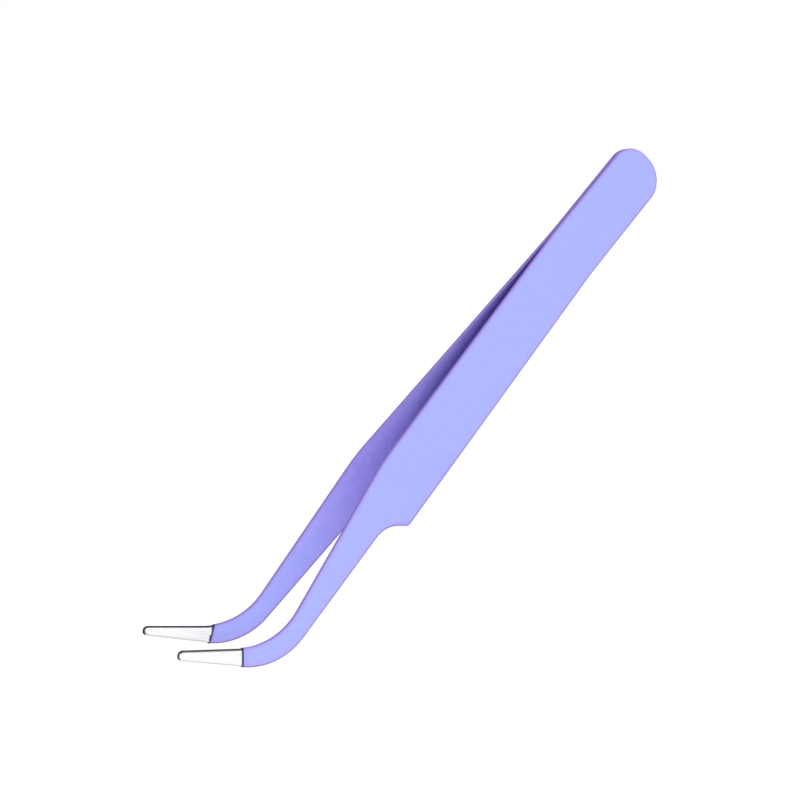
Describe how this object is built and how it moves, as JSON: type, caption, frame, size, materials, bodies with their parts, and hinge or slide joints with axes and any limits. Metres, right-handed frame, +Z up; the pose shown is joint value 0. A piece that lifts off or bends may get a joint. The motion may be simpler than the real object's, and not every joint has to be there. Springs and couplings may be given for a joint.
{
  "type": "precision tweezers",
  "caption": "Curved-tip precision tweezers: sprung steel leaves welded at the heel, coated in lilac, with a stepped shank and bare blunt tips.",
  "frame": {"origin": "centre of the bounding box's underside; the tweezers stand on their long straight edges", "axes": "+X towards the welded heel, so the tips are at -X; +Z up, the way the tips curl; -Y is the front leaf's side, and the two leaves mirror each other in the plane y = 0"},
  "size_m": [0.12, 0.0188, 0.0185],
  "materials": {
    "steel": "bare stainless steel, finely brushed and polished at the tips",
    "coat": "satin lilac powder coat with a fine texture",
    "weld": "fused steel of a resistance spot weld, hidden in the seam"
  },
  "bodies": {
    "heel": {"front_leaf_heel": "steel", "rear_leaf_heel": "steel", "heel_coat": "coat", "weld_nugget_1": "weld", "weld_nugget_2": "weld"},
    "front_arm": {"front_leaf_arm": "steel", "front_coat_arm": "coat"},
    "rear_arm": {"rear_leaf_arm": "steel", "rear_coat_arm": "coat"}
  },
  "joints": [
    {"name": "front_arm_flex", "type": "hinge", "parent": "heel", "child": "front_arm", "pos_m": [0.0365, -0.00042, 0.0053], "axis": [0, 0, -1], "range_deg": [0, 5.1], "stiffness_Nm_per_rad": 0.6},
    {"name": "rear_arm_flex", "type": "hinge", "parent": "heel", "child": "rear_arm", "pos_m": [0.0365, 0.00042, 0.0053], "axis": [0, 0, 1], "range_deg": [0, 5.1], "stiffness_Nm_per_rad": 0.6}
  ],
  "couplings": [
    {"joint": "rear_arm_flex", "follows": "front_arm_flex", "ratio": 1}
  ]
}
